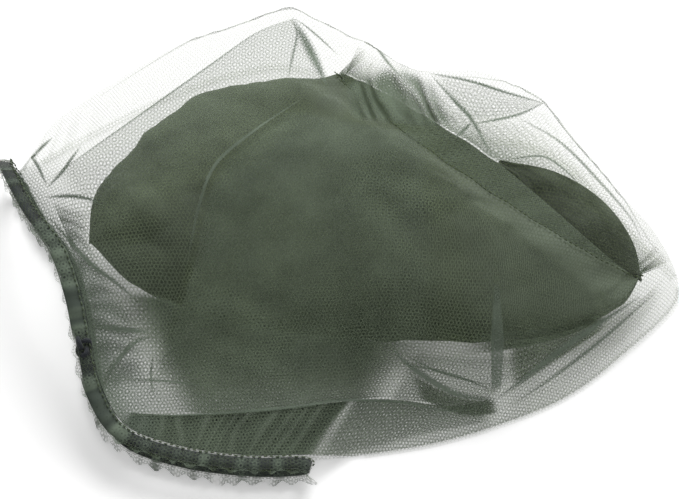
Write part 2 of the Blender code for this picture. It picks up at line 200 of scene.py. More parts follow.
lamp = bpy.data.lights.new("soft box", "AREA")
lamp.shape = "DISK"
lamp.size = LAMP_SIZE
lamp.energy = LAMP_POWER
soft_box = add_object("soft box", lamp)
soft_box.location = LAMP_PLACE
soft_box.rotation_euler = (-LAMP_PLACE).to_track_quat("-Z", "Y").to_euler()
bpy.context.scene.view_settings.view_transform = "Standard"
print("lamp", round(LAMP_PLACE.length, 2), "m away")

# %% [markdown]
# ## The net's cells
# Such net is knitted from fine polyester thread into six-sided cells about 2 mm across. They are too fine
# to model, so a pattern on the cloth's map, in millimetres, draws them. Cell middles lie on two grids, half
# a step apart. The nearer one tells which cell a spot is in, and the way to that cell's edge tells whether
# it is on a thread.

# %% One layer of net cells
CELL = 1.95
CELL_HALF = (CELL / 2, CELL * math.sqrt(3.0) / 2, 0.5)
CELL_BACK = [-half for half in CELL_HALF]
CELL_SLANT = (0.5, math.sqrt(3.0) / 2, 0.0)
THREAD_SOFTNESS = (0.3, 1.9)


def on_thread(add, place, width):
    """One on a thread and zero inside a cell, with a soft edge of the thread's half width."""
    first = add("VectorMath", {0: place, 1: CELL_HALF, 2: CELL_BACK}, operation="WRAP")
    moved = add("VectorMath", {0: place, 1: CELL_HALF}, operation="ADD")
    second = add("VectorMath", {0: moved, 1: CELL_HALF, 2: CELL_BACK}, operation="WRAP")
    far_first = add("VectorMath", {0: first}, operation="LENGTH").outputs["Value"]
    far_second = add("VectorMath", {0: second}, operation="LENGTH").outputs["Value"]
    nearer = add("Math", {0: far_first, 1: far_second}, operation="LESS_THAN")
    cell = add("Mix", {"Factor": nearer, 4: second, 5: first}, data_type="VECTOR")
    aside = add("VectorMath", {0: cell.outputs[1]}, operation="ABSOLUTE")
    slant = add("VectorMath", {0: aside, 1: CELL_SLANT}, operation="DOT_PRODUCT")
    parts = add("SeparateXYZ", {0: aside})
    reach = add("Math", {0: slant.outputs["Value"], 1: parts}, operation="MAXIMUM")
    to_thread = add("Math", {0: CELL / 2, 1: reach}, operation="SUBTRACT")
    widths = add("Math", {0: to_thread, 1: width}, operation="DIVIDE")
    return add("MapRange", {"Value": widths, "From Min": THREAD_SOFTNESS[0], "From Max": THREAD_SOFTNESS[1],
                            "To Min": 1.0, "To Max": 0.0})


print("net cells", CELL, "mm across")

# %% [markdown]
# ## The net's finish
# Where net is gathered its threads lie closer, so each piece carries a gather value that widens them, makes
# them more solid and brings in a second and a third ply, each turned over the first. Thin net is painted
# yellower, as light shining through, and dense net is painted darker, as shade.

# %% Net material
THREAD_HALF = (0.22, 0.62)
THREAD_COVER = (0.07, 1.0)
SPOT_SCALE = 0.06
SPOT_TINTS = ((0.3, 0.82), (0.7, 1.15))
# Each ply's turn and shift over the first one, and the gather values between which it comes in
NET_PLIES = ((0.0, 0.0, -1.0, 0.0), (0.5, 0.7, 0.15, 0.45), (1.1, 1.3, 0.40, 0.80))
# Gather value, and the thread colour's share there: thin net painted yellower as light, dense net darker as
# shade
NET_PAINTED_LIGHT_AND_SHADE = ((0.08, (1.0, 1.0, 0.58)), (0.36, (1.0, 0.96, 1.0)), (0.80, (1.0, 0.96, 1.0)),
             (1.0, (0.46, 0.44, 0.50)))


def net_material(name, thread_code):
    material, shader = new_material(name)
    add = partial(add_node, material)
    place = add("UVMap", uv_map="UVMap")
    gather_and_painted_shade = add("Attribute", attribute_name="gather_and_painted_shade").outputs["Fac"]
    width, solid = [add("MapRange", {"Value": gather_and_painted_shade, "To Min": least, "To Max": most})
                    for least, most in (THREAD_HALF, THREAD_COVER)]
    clear = 1.0
    for turn, shift, start, end in NET_PLIES:
        moved, spun = (shift, shift, 0.0), (0.0, 0.0, turn)
        laid = add("Mapping", {"Vector": place, "Location": moved, "Rotation": spun})
        thread = on_thread(add, laid, width)
        share = add("MapRange", {"Value": gather_and_painted_shade, "From Min": start, "From Max": end})
        strength = add("Math", {0: share, 1: solid}, operation="MULTIPLY")
        cover = add("Math", {0: thread, 1: strength}, operation="MULTIPLY")
        left = add("Math", {0: 1.0, 1: cover}, operation="SUBTRACT")
        clear = add("Math", {0: left, 1: clear}, operation="MULTIPLY")
    alpha = add("Math", {0: 1.0, 1: clear}, operation="SUBTRACT")
    spots = add("TexNoise", {"Vector": place, "Scale": SPOT_SCALE, "Detail": 3.0})
    tint = add("ValToRGB", {"Fac": spots.outputs["Fac"]})
    thread_colour = srgb(thread_code)[:3]
    fill_ramp(tint.color_ramp, [(at, [min(1.0, part * c) for c in thread_colour]) for at, part in SPOT_TINTS])
    # Painted light and shade: thin net is tinted yellower and dense net darker
    painted_light_and_shade = add("ValToRGB", {"Fac": gather_and_painted_shade})
    fill_ramp(painted_light_and_shade.color_ramp, NET_PAINTED_LIGHT_AND_SHADE)
    painted_tone = add("VectorMath", {0: tint, 1: painted_light_and_shade}, operation="MULTIPLY")
    fill_inputs(material, shader, {"Base Color": painted_tone, "Alpha": alpha, "Roughness": 0.8,
                                   "Specular IOR Level": 0.1})
    return material


olive_net = net_material("knitted polyester net", "#6D7B6A")
print("net of", len(NET_PLIES), "plies at its densest")

# %% [markdown]
# ## Woven cloth, elastic and thread
# The cap is a close plain weave in the same olive, matt and a little uneven. Its threads are about 0.45 mm
# apart, too fine for the picture, so they are drawn at 0.9 mm. The elastic and the sewing thread are the
# same pattern at other sizes. On the cap a high gather value darkens the cloth as painted shade, and one
# below zero lightens it as painted light.

# %% Woven materials
WEAVE = 0.9
BRAID = 1.2
TWIST = 0.8
WEAVE_SHADE = 0.10
CLOUD_SCALE = 0.03
# How far the colour ramp reaches darker and lighter, for uneven tone and the cap's painted shade and light
DARK_SIDE = 2.8
LIGHT_SIDE = 2.4


def woven_material(name, code, pitch, uneven, rough):
    material, shader = new_material(name)
    add = partial(add_node, material)
    place = add("UVMap", uv_map="UVMap")
    turns = add("VectorMath", {0: place, "Scale": 2 * math.pi / pitch}, operation="SCALE")
    waves = add("VectorMath", {0: turns}, operation="SINE")
    parts = add("SeparateXYZ", {0: waves}).outputs
    weave = add("Math", {0: parts[0], 1: parts[1]}, operation="MULTIPLY")
    clouds = add("TexNoise", {"Vector": place, "Scale": CLOUD_SCALE, "Detail": 4.0})
    # On the cap this value is painted shade, and below zero painted light
    painted_light_and_shade = add("Attribute", attribute_name="gather_and_painted_shade").outputs["Fac"]
    shade = add("Math", {0: weave, 1: WEAVE_SHADE, 2: clouds.outputs["Fac"]}, operation="MULTIPLY_ADD")
    painted_tone = add("Math", {0: shade, 1: painted_light_and_shade}, operation="SUBTRACT")
    tint = add("ValToRGB", {"Fac": painted_tone})
    dark = [(1.0 - DARK_SIDE * uneven) * c for c in srgb(code)[:3]]
    light = [min(1.0, (1.0 + LIGHT_SIDE * uneven) * c) for c in srgb(code)[:3]]
    fill_ramp(tint.color_ramp, ((0.0, dark), (1.0, light)))
    bump = add("Bump", {"Height": weave, "Strength": 0.35, "Distance": 0.0002})
    fill_inputs(material, shader, {"Base Color": tint, "Normal": bump, "Roughness": rough,
                                   "Specular IOR Level": 0.2, "Sheen Weight": 0.15})
    return material


olive_cloth = woven_material("close-woven olive cotton", "#666F62", WEAVE, 0.25, 0.9)
black_elastic = woven_material("braided black elastic", "#2A2E33", BRAID, 0.25, 0.7)
olive_thread = woven_material("olive sewing thread", "#55614A", TWIST, 0.15, 0.7)
print("cloth, elastic and thread are ready")

# %% [markdown]
# ## Lines
# The pieces are cut as grids and then moved into shape, as a tailor lays out flat cloth first. A smooth line
# through a few points gives every edge, and can be read at even steps along its length.

# %% Line helpers
LINE_STEPS = 16


def unit(vectors):
    return vectors / np.linalg.norm(vectors, axis=-1, keepdims=True)


def smooth_line(points, closed=False):
    points = np.asarray(points, float)
    if closed:
        padded = np.vstack((points[-1], points, points[:2]))
    else:
        padded = np.vstack((2 * points[0] - points[1], points, 2 * points[-1] - points[-2]))
    share = np.linspace(0.0, 1.0, LINE_STEPS, endpoint=False)[:, None]
    spans = []
    for a, b, c, d in zip(padded, padded[1:], padded[2:], padded[3:]):
        spans.append(0.5 * (2 * b + (c - a) * share + (2 * a - 5 * b + 4 * c - d) * share ** 2
                            + (3 * b - a - 3 * c + d) * share ** 3))
    line = np.vstack(spans)
    return line if closed else np.vstack((line, points[-1]))


def close_ring(line):
    return np.vstack((line, line[:1]))


def travel(line):
    return np.concatenate(([0.0], np.cumsum(np.linalg.norm(np.diff(line[:, :3], axis=0), axis=1))))


def read_line(values, travelled, at):
    return np.stack([np.interp(at, travelled, column) for column in values.T], axis=-1)


def even_line(line, count):
    travelled = travel(line)
    return read_line(line, travelled, np.linspace(0.0, travelled[-1], count))


print("a smooth line has", LINE_STEPS, "steps between two points")

# %% [markdown]
# ## Cloth from a grid
# A grid operator makes the mesh, and each of its points is then sent to its place. The piece gets a flat
# map in millimetres for its pattern, and its gather value at every point. Real cloth has a flat size, so
# the area that went into each piece is printed.

# %% Cloth helpers
MERGE = 0.00001
LEAST_SIDE = 0.0101


def sheet_map(points):
    """A flat map of a grid of points, in millimetres: mean run along each way."""
    runs = []
    for way in (1, 0):
        steps = np.linalg.norm(np.diff(points, axis=way), axis=2).mean(axis=1 - way)
        runs.append(np.concatenate(([0.0], np.cumsum(steps))) * 1000)
    return np.stack(np.meshgrid(*runs), axis=-1)


def add_cloth(shape, points, flat_map=None, gather_and_painted_shade=0.0):
    """Add a grid of points (rows, columns, 3) to a mesh, with its map and its gather value, which on the cap
    is painted shade.
    """
    rows, columns = points.shape[0] - 1, points.shape[1] - 1
    flat_map = sheet_map(points) if flat_map is None else flat_map
    gather_and_painted_shade = np.broadcast_to(gather_and_painted_shade, points.shape[:2])
    uv = shape.loops.layers.uv.get("UVMap") or shape.loops.layers.uv.new("UVMap")
    thick = shape.verts.layers.float.get("gather_and_painted_shade") or shape.verts.layers.float.new("gather_and_painted_shade")
    made = bmesh.ops.create_grid(shape, x_segments=columns, y_segments=rows, size=0.5)["verts"]
    spot = {}
    for vertex in made:
        spot[vertex] = (round((vertex.co.y + 0.5) * rows), round((vertex.co.x + 0.5) * columns))
        vertex.co = points[spot[vertex]]
        vertex[thick] = gather_and_painted_shade[spot[vertex]]
    for face in {face for vertex in made for face in vertex.link_faces}:
        for loop in face.loops:
            loop[uv].uv = flat_map[spot[loop.vert]]


def finish_piece(name, shape, material, wall=0.0):
    bmesh.ops.remove_doubles(shape, verts=shape.verts, dist=MERGE)
    bmesh.ops.dissolve_degenerate(shape, edges=shape.edges, dist=MERGE / 2)
    bmesh.ops.recalc_face_normals(shape, faces=shape.faces)
    piece = mesh_object(name, shape, material)
    piece.data.shade_smooth()
    if wall:
        ply = piece.modifiers.new("ply", "SOLIDIFY")
        ply.thickness = wall
        ply.offset = 0.0
    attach(piece, "root")
    return piece


def sew(name, points, material, flat_map=None, gather_and_painted_shade=0.0, wall=0.0):
    """Make a cloth object from one grid of points."""
    shape = bmesh.new()
    add_cloth(shape, points, flat_map, gather_and_painted_shade)
    return finish_piece(name, shape, material, wall)


def declare(piece, width):
    """Print the area of net or cloth that went into a sheet."""
    area = sum(face.area for face in piece.data.polygons)
    width = max(LEAST_SIDE, min(width, area / LEAST_SIDE))
    print(piece.name, round(area * 10000), "square centimetres")


print("no sheet is declared narrower than", LEAST_SIDE * 1000, "mm")

# %% [markdown]
# ## The neck ring
# The elastic runs once round the neck of the bag: along the raised upper lip, round the near end, and back
# along the lower lip on the table. Every hem piece follows this one line, as on the model.

# %% Neck corners
NET_CORNER = np.array((-0.16413, -0.12291))
NET_SIZE = np.array((0.337, 0.252))
NET_HEIGHT = 0.0896
LIP_RISE = 0.041
LIP_GAP = 0.012
LIP_INSET = 0.004
LIP_LEAN = 0.030
HEM_LIFT = 0.0058
NEAR_TURN = 0.6
# Shares of the net's length and depth, of the lip's rise, and how full the bag stands there
UPPER_LIP = (
    (0.004, 0.590, 0.90, 0.70), (0.037, 0.484, 1.00, 0.50), (0.077, 0.401, 0.96, 0.40),
    (0.101, 0.313, 0.76, 0.30), (0.116, 0.226, 0.46, 0.20), (0.132, 0.149, 0.18, 0.12),
    (0.172, 0.070, 0.02, 0.06), (0.256, 0.022, 0.00, 0.05), (0.353, 0.000, 0.00, 0.05),
    (0.425, 0.000, 0.00, 0.08),
)
NECK_FOCUS = (0.560, 0.590, 0.22)


def net_place(length_share, depth_share):
    return NET_CORNER + NET_SIZE * np.array((length_share, depth_share))


def neck_corners():
    base = HEM_LIFT + LIP_GAP
    upper = np.array([(*net_place(u, v), base + LIP_RISE * rise) for u, v, rise, _ in UPPER_LIP])
    lower = upper.copy()
    lower[:, :2] += unit(net_place(*NECK_FOCUS[:2]) - upper[:, :2]) * LIP_INSET
    lower[:, 1] += LIP_LEAN * np.array([rise for _, _, rise, _ in UPPER_LIP])
    lower[:, 2] = HEM_LIFT
    near_turn = (upper[-1] + lower[-1]) / 2 + unit(upper[-1] - upper[-2]) * LIP_GAP * NEAR_TURN
    far_turn = (upper[0] + lower[0]) / 2 + unit(upper[0] - upper[1]) * LIP_GAP
    return np.vstack((far_turn, upper, near_turn, lower[::-1]))


neck_round = smooth_line(neck_corners(), closed=True)
print("neck ring of", len(neck_round), "points")

# %% [markdown]
# ## Places on the neck ring
# A share of the way round the ring, a distance outwards and one across give any place on the hem. Outwards is
# away from the middle of the bag.

# %% Neck line
neck_line = close_ring(neck_round)
neck_travel = travel(neck_line)
neck_length = neck_travel[-1]
away = neck_round - np.array((*net_place(*NECK_FOCUS[:2]), NECK_FOCUS[2] * NET_HEIGHT))
neck_along = unit(np.roll(neck_round, -1, axis=0) - np.roll(neck_round, 1, axis=0))
neck_out = unit(away - np.sum(away * neck_along, axis=1, keepdims=True) * neck_along)
neck_in = np.cross(neck_along, neck_out)
neck_ways = [close_ring(way) for way in (neck_round, neck_along, neck_out, neck_in)]
corner_shares = neck_travel[::LINE_STEPS] / neck_length
upper_shares = corner_shares[1:len(UPPER_LIP) + 1]
lower_shares = corner_shares[len(UPPER_LIP) + 2:2 * len(UPPER_LIP) + 2]


def neck_point(share, out, inward):
    at = np.mod(share, 1.0) * neck_length
    place, _, out_way, in_way = [read_line(way, neck_travel, at) for way in neck_ways]
    return place + out * out_way + inward * in_way


print("neck ring", round(neck_length * 1000), "mm round")

# %% [markdown]
# ## The cap's form
# The cap is a soft sock of cloth with a gathered rim, lying on its side. A loft through seven rings gives its
# form, as on the model. Each ring is an ellipse with a middle and two half axes, as shares of the cap's size.

# %% Cap form
CAP_SPREAD = np.array((0.280, 0.130, 0.056))
CAP_MOVE = np.array((0.01387, 0.01909, 0.0))
CAP_BASE = 0.0016
CAP_RINGS = (
    ((0.223, 0.150, 0.590), (0.268, -0.375, -0.290), (0.000, 0.135, -0.165)),
    ((0.184, 0.073, 0.570), (0.271, -0.435, -0.320), (0.000, 0.085, -0.290)),
    ((0.120, 0.046, 0.540), (0.279, -0.460, -0.360), (0.000, 0.023, -0.375)),
    ((-0.014, -0.008, 0.500), (0.238, -0.470, -0.360), (0.000, 0.000, -0.370)),
    ((-0.191, -0.065, 0.464), (0.168, -0.420, -0.320), (0.000, 0.000, -0.340)),
    ((-0.348, -0.108, 0.410), (0.089, -0.308, -0.230), (0.000, 0.000, -0.270)),
    ((-0.439, -0.108, 0.390), (0.038, -0.170, -0.125), (0.000, 0.000, -0.180)),
)
CAP_END = (-0.491, -0.108, 0.375)
CAP_COLUMNS = 144
CAP_ROWS = 64
ROW_SPACING = 1.2


def cap_points():
    rings = [np.concatenate([np.array(part) * CAP_SPREAD for part in ring]) for ring in CAP_RINGS]
    line = smooth_line([*rings, np.concatenate((np.array(CAP_END) * CAP_SPREAD, np.zeros(6)))])
    turns = np.linspace(0.0, 2 * math.pi, CAP_COLUMNS + 1)[:, None]
    rows = []
    for step in np.linspace(0.0, 1.0, CAP_ROWS + 1):
        ring = read_line(line, np.linspace(0.0, 1.0, len(line)), 1.0 - (1.0 - step) ** ROW_SPACING)
        rows.append(ring[:3] + np.cos(turns) * ring[3:6] + np.sin(turns) * ring[6:9])
    points = np.array(rows)
    points[..., 2] += CAP_BASE - points[..., 2].min()
    return points + CAP_MOVE


cap_grid = cap_points()
print("cap", round(float(np.ptp(cap_grid[..., 0])) * 1000), "mm long")

# %% [markdown]
# ## The cap's cloth
# Fine creases run from the rim where the netting pulls on it, and the rest of the cloth is a little rumpled.
# The cloth is painted darker low down, as shade from the net round it, and painted lighter high up and
# towards the rim, as light.

# %% Cap cloth
CREASES = 23
CREASE_DEPTH = 0.0012
CREASE_RUN = 0.16
RUMPLE_DEPTH = 0.007
RUMPLE_SCALE = 22.0
RUMPLE_START = 6
OCTAVES = 3
LOW_PAINTED_SHADE = 0.30
PAINTED_SHADE_OFFSET = 0.06
PAINTED_SHADE_LIMITS = (-0.10, 0.30)
RIM_START = 0.05
RIM_RUN = 0.07
RIM_PAINTED_LIGHT = 0.58
CAP_FLAT = 0.40
outward = unit(cap_grid - cap_grid.mean(axis=1, keepdims=True))
turn = np.linspace(0.0, 2 * math.pi, CAP_COLUMNS + 1)[None, :]
down_cap = np.linspace(0.0, 1.0, CAP_ROWS + 1)[:, None]
creases = CREASE_DEPTH * np.sin(CREASES * turn) * np.exp(-(down_cap / CREASE_RUN) ** 2)
rumple = np.array([[noise.turbulence(Vector(point) * RUMPLE_SCALE, OCTAVES, True) - 0.5 for point in row]
                   for row in cap_grid])
rumple = RUMPLE_DEPTH * rumple * np.minimum(1.0, down_cap * RUMPLE_START)
cap_grid = cap_grid + outward * (creases + rumple)[..., None]
cap_grid[:, -1] = cap_grid[:, 0]
cap_grid[..., 2] = np.maximum(cap_grid[..., 2], CAP_BASE)
# Painted shade low on the cap, and painted light high up and towards its rim
low_share = 1.0 - (cap_grid[..., 2] - CAP_BASE) / CAP_SPREAD[2]
rim_share = np.clip((cap_grid[..., 0] - RIM_START) / RIM_RUN, 0.0, 1.0)
cap_painted_shade = np.clip(LOW_PAINTED_SHADE * low_share - PAINTED_SHADE_OFFSET, *PAINTED_SHADE_LIMITS) * (1.0 - rim_share)
cap_painted_shade = cap_painted_shade - RIM_PAINTED_LIGHT * rim_share
cap = sew("cap_cloth", cap_grid, olive_cloth, gather_and_painted_shade=cap_painted_shade)
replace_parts(cap, "cap_crown")
declare(cap, CAP_FLAT)

# %% [markdown]
# ## The bag's edge
# The two panels meet along an edge on the table, from the hem's near end round the pointed end to the hem's
# far end. There the photograph shows the bag bulging past the hem, so the edge lies further out than on the
# model. Stiff net also keeps a few standing folds.

# %% Net edge and folds
NET_CLOTH = 0.0008
EDGE_HEIGHT = 0.0015
PANEL_INSET = 0.0046
# Shares of the net's length and depth, and how full the bag stands there
NET_EDGE = (
    (0.510, 0.060, 0.20), (0.628, 0.090, 0.35), (0.726, 0.135, 0.42), (0.821, 0.198, 0.48),
    (0.900, 0.290, 0.60), (0.994, 0.444, 0.85), (0.945, 0.556, 0.95), (0.875, 0.683, 1.00),
    (0.827, 0.762, 1.00), (0.768, 0.810, 1.00), (0.628, 0.840, 1.00), (0.533, 0.930, 1.00),
    (0.420, 1.000, 1.00), (0.322, 0.978, 1.00), (0.222, 0.918, 1.00), (0.110, 0.825, 0.95),
    (0.034, 0.755, 0.90),
)
# Height, half width and line of each standing fold
NET_FOLDS = (
    (0.011, 0.013, ((0.100, 0.500), (0.215, 0.630), (0.330, 0.760), (0.420, 0.880))),
    (0.008, 0.011, ((0.600, 0.700), (0.700, 0.730), (0.790, 0.710))),
    (0.007, 0.009, ((0.722, 0.400), (0.728, 0.280), (0.724, 0.170))),
)
table_edge = smooth_line([(*net_place(u, v), EDGE_HEIGHT, full) for u, v, full in NET_EDGE])


def lip_points(shares):
    return np.array([neck_point(share, -PANEL_INSET, 0.0) for share in shares])


def fold_rise(plan):
    rise = np.zeros(len(plan))
    for height, half_width, line in NET_FOLDS:
        path = smooth_line([net_place(u, v) for u, v in line])
        off = np.linalg.norm(plan[:, None, :] - path[None, :, :], axis=2).min(axis=1)
        rise = np.maximum(rise, height * np.exp(-(off / half_width) ** 2))
    return rise


print("edge on the table", round(travel(table_edge)[-1] * 1000), "mm long")

# %% [markdown]
# ## The bag's upper panel
# One panel of net stands over the cap like a low tent. It is drawn as rings from its top out to its edge,
# boxy on the far side and slack at the neck. The standing folds and a crumple are added to the smooth form,
# and both fade out towards the edge.

# %% Upper panel's form
NET_TOP = (0.464, 0.640)
TOP_POWERS = (1.5, 4.5)
SIDE_POWERS = (1.6, 0.5)
RING_SPACING = 1.5
FOLD_FADE = 6.0
CRUMPLE_DEPTH = 0.006
CRUMPLE_SCALE = 26.0
CRUMPLE_LEVEL = 0.45
CRUMPLE_FADE = 4.0
LIP_COLUMNS = 72
EDGE_COLUMNS = 168
NET_ROWS = 48


def upper_net():
    shares = np.linspace(upper_shares[0], upper_shares[-1], LIP_COLUMNS)
    full = np.interp(shares, upper_shares, [point[3] for point in UPPER_LIP])
    lip = np.column_stack((lip_points(shares), full))
    edge = close_ring(np.vstack((lip, even_line(table_edge, EDGE_COLUMNS))))
    full = edge[:, 3]
    top = np.array((*net_place(*NET_TOP), NET_HEIGHT - NET_CLOTH / 2))
    top_power = np.interp(full, (0.0, 1.0), TOP_POWERS)
    side_power = np.interp(full, (0.0, 1.0), SIDE_POWERS)
    rows = []
    for share in np.linspace(0.0, 1.0, NET_ROWS + 1):
        reach = 1.0 - (1.0 - share) ** RING_SPACING
        height = (1.0 - reach ** top_power) ** side_power
        plan = top[:2] + (edge[:, :2] - top[:2]) * reach
        rise = edge[:, 2] + (top[2] - edge[:, 2]) * height
        rise += fold_rise(plan) * min(1.0, (1.0 - reach) * FOLD_FADE)
        spots = [Vector((*p, 0.3)) * CRUMPLE_SCALE for p in plan]
        crumple = np.array([noise.turbulence(spot, OCTAVES, True) - CRUMPLE_LEVEL for spot in spots])
        rise += CRUMPLE_DEPTH * crumple * min(1.0, (1.0 - reach) * CRUMPLE_FADE)
        rows.append(np.column_stack((plan, np.minimum(rise, top[2]))))
    return np.array(rows)


net_grid = upper_net()
print("upper panel of", net_grid.shape[0], "rings")

# %% [markdown]
# ## The upper panel's net
# The net is thinnest on the far side and denser on the near side, where more of it lies together. It is
# densest along the left of the neck, where the elastic draws it in. The map runs out from the panel's top,
# so the cells keep their size on the slopes.

# %% Upper panel
NEAR_START = 0.02
NEAR_RUN = 0.11
MAP_SHIFT = 0.4
FAR_GATHER = 0.05
NEAR_GATHER = 0.25
NECK_GATHER = 0.36
NECK_FALL = 4
NECK_SPAN = (3.6, -1.4)
NET_WALL = 0.0005
PANEL_FLAT = 0.46


def near_share(points):
    return np.clip((NEAR_START - points[..., 1]) / NEAR_RUN, 0.0, 1.0)


steps = np.linalg.norm(np.diff(net_grid, axis=0), axis=2)
runs = np.vstack((np.zeros(net_grid.shape[1]), np.cumsum(steps, axis=0)))
ways = unit(net_grid[-1, :, :2] - net_grid[0, :, :2])
net_map = (runs[..., None] * ways[None] + MAP_SHIFT) * 1000
at_lip = np.zeros(net_grid.shape[1])
at_lip[:LIP_COLUMNS] = np.clip(np.linspace(*NECK_SPAN, LIP_COLUMNS), 0.0, 1.0)
by_neck = at_lip[None, :] * np.linspace(0.0, 1.0, NET_ROWS + 1)[:, None] ** NECK_FALL
net_gather = FAR_GATHER + NEAR_GATHER * near_share(net_grid) + NECK_GATHER * by_neck
upper_panel = sew("net_upper", net_grid, olive_net, net_map, net_gather, NET_WALL)
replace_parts(upper_panel, "net_upper_panel")
declare(upper_panel, PANEL_FLAT)
net_tree = BVHTree.FromPolygons([v.co for v in upper_panel.data.vertices],
                                [p.vertices[:] for p in upper_panel.data.polygons])

# %% [markdown]
# ## The bag's lower panel
# The lower panel lies flat on the table and rises only at the neck. Its map is its plan, because it is flat.

# %% Lower panel
LOWER_MIDDLE = (0.640, 0.500)
LOWER_ROWS = 16
LOWER_FLAT = 0.75
LOWER_GATHER = (0.02, 0.20)


def lower_net():
    flat = NET_CLOTH / 2
    edge = even_line(table_edge, EDGE_COLUMNS)[:, :3]
    edge[:, 2] = flat
    lip = lip_points(np.linspace(lower_shares[-1], lower_shares[0], LIP_COLUMNS))
    edge = close_ring(np.vstack((edge, lip)))
    middle = np.array((*net_place(*LOWER_MIDDLE), flat))
    rows = []
    for share in np.linspace(0.0, 1.0, LOWER_ROWS + 1):
        ring = middle + (edge - middle) * share
        rise = np.clip((share - LOWER_FLAT) / (1.0 - LOWER_FLAT), 0.0, 1.0)
        ring[:, 2] = flat + (edge[:, 2] - flat) * rise
        rows.append(ring)
    return np.array(rows)


lower_grid = lower_net()
lower_map = lower_grid[..., :2] * 1000 + MAP_SHIFT * 1000
lower_gather = LOWER_GATHER[0] + LOWER_GATHER[1] * near_share(lower_grid)
lower_panel = sew("net_lower", lower_grid, olive_net, lower_map, lower_gather)
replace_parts(lower_panel, "net_lower_panel")
declare(lower_panel, PANEL_FLAT)

# %% [markdown]
# ## The elastic and its casing
# The net is folded over into a casing, and the flat elastic inside bunches it. In some stretches the
# elastic shows dark through the casing, and in others the net lies too thick. So the casing's gather value
# follows the hem, with small bunches on top.

# %% Elastic and casing
HEM_STEPS = 680
ELASTIC_WIDTH = 0.006
ELASTIC_THICKNESS = 0.0012
CASING_HALF = ELASTIC_WIDTH / 2 + 0.0008
CASING_GAP = 0.0004
CASING_FOLD = 0.0006
CASING_MIDDLE = 1.15
CASING_SHOULDER = 0.8
GATHERS = 61
PUFF = 0.0007
BUNCH_SCALE = 95.0
CASING_GATHER = 0.10
BUNCH_GATHER = 0.5
BUNCH_LEAST = -0.2
# How thickly the casing covers the elastic, at places counted along the corners of the upper lip
HEM_SLACK = ((0.0, 0.10), (1.2, 0.10), (1.6, 0.40), (2.6, 0.50), (3.0, 0.90), (3.5, 0.85), (3.9, 0.15),
             (4.5, 0.10), (5.0, 0.90), (5.7, 0.90), (6.2, 0.22), (9.0, 0.20))
ring_shares = np.linspace(0.0, 1.0, HEM_STEPS + 1)


def wander(scale, *seed):
    """A value that wanders round the hem, from smooth noise."""
    return np.array([noise.noise(Vector((share * scale, *seed))) for share in ring_shares])


def casing_rise(share):
    puff = PUFF * (0.5 + 0.5 * math.cos(2 * math.pi * GATHERS * share))
    return ELASTIC_THICKNESS / 2 + CASING_GAP + puff


def strip(section, shares):
    return np.array([[neck_point(share, out, up) for out, up in section(share)] for share in shares])


def elastic_section(share):
    out, up = ELASTIC_WIDTH / 2, ELASTIC_THICKNESS / 2
    return ((-out, -up), (out, -up), (out, up), (-out, up), (-out, -up))


def casing_section(share):
    rise = casing_rise(share)
    middle, shoulder = rise * CASING_MIDDLE, rise * CASING_SHOULDER
    return ((-CASING_HALF, rise), (0.0, middle), (CASING_HALF, shoulder), (CASING_HALF + CASING_FOLD, 0.0),
            (CASING_HALF, -shoulder), (0.0, -middle), (-CASING_HALF, -rise))


elastic = sew("neck_elastic_band", strip(elastic_section, ring_shares), black_elastic)
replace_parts(elastic, "neck_elastic")

bunches = wander(BUNCH_SCALE, 2.0, 7.0)
slack_places, slack_values = np.transpose(HEM_SLACK)
slack_shares = np.interp(slack_places, np.arange(len(UPPER_LIP)), upper_shares)
slack = np.interp(ring_shares, slack_shares, slack_values)
casing_gather = CASING_GATHER + BUNCH_GATHER * np.maximum(bunches, BUNCH_LEAST) + slack
casing_gather = np.clip(casing_gather, 0.0, 1.0)[:, None]
casing_grid = strip(casing_section, ring_shares)
casing = sew("hem_casing_net", casing_grid, olive_net, gather_and_painted_shade=casing_gather)
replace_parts(casing, "hem_casing")
declare(casing, neck_length)

# %% [markdown]
# ## The ruffle
# Beyond the casing a narrow frill of net stands out. It waves once for each gather of the hem and curls
# under, and its width wanders, as on any frill that was sewn by eye.

# %% Ruffle
RUFFLE_WIDTH = 0.0042
RUFFLE_ROWS = 5
RUFFLE_WAVE = 0.0026
RUFFLE_SHIFT = 2.0
RUFFLE_SPREAD = 0.9
RUFFLE_OUT = 0.45
RUFFLE_UNDER = 0.6
RUFFLE_GAP = 0.0008
RUFFLE_GATHER = 0.36
RUFFLE_HEIGHT = 0.0005
WOBBLE_SCALE = 37.0
wobble = wander(WOBBLE_SCALE, 0.0, 4.0)
wobble[-1] = wobble[0]


def ruffle_row(share, lean):
    rows = []
    for step in np.linspace(0.0, 1.0, RUFFLE_ROWS):
        wave = RUFFLE_WAVE * step * math.sin(2 * math.pi * GATHERS * share + RUFFLE_SHIFT * lean)
        reach = step * RUFFLE_WIDTH * (1.0 + RUFFLE_SPREAD * lean)
        out = CASING_HALF + RUFFLE_GAP + RUFFLE_OUT * reach
        rows.append(neck_point(share, out, wave - RUFFLE_UNDER * reach))
    return rows


ruffle_grid = np.array([ruffle_row(share, lean) for share, lean in zip(ring_shares, wobble)])
ruffle_grid[..., 2] = np.maximum(ruffle_grid[..., 2], RUFFLE_HEIGHT)
ruffle_gather = RUFFLE_GATHER + BUNCH_GATHER * bunches[:, None]
ruffle = sew("hem_ruffle_net", ruffle_grid, olive_net, gather_and_painted_shade=ruffle_gather)
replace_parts(ruffle, "hem_ruffle")
declare(ruffle, neck_length)

# %% [markdown]
# ## The netting round the cap's rim
# Netting is sewn to the cap's rim and gathered there. It runs out like a funnel until it meets the bag, which
# a ray from each point of the rim finds.

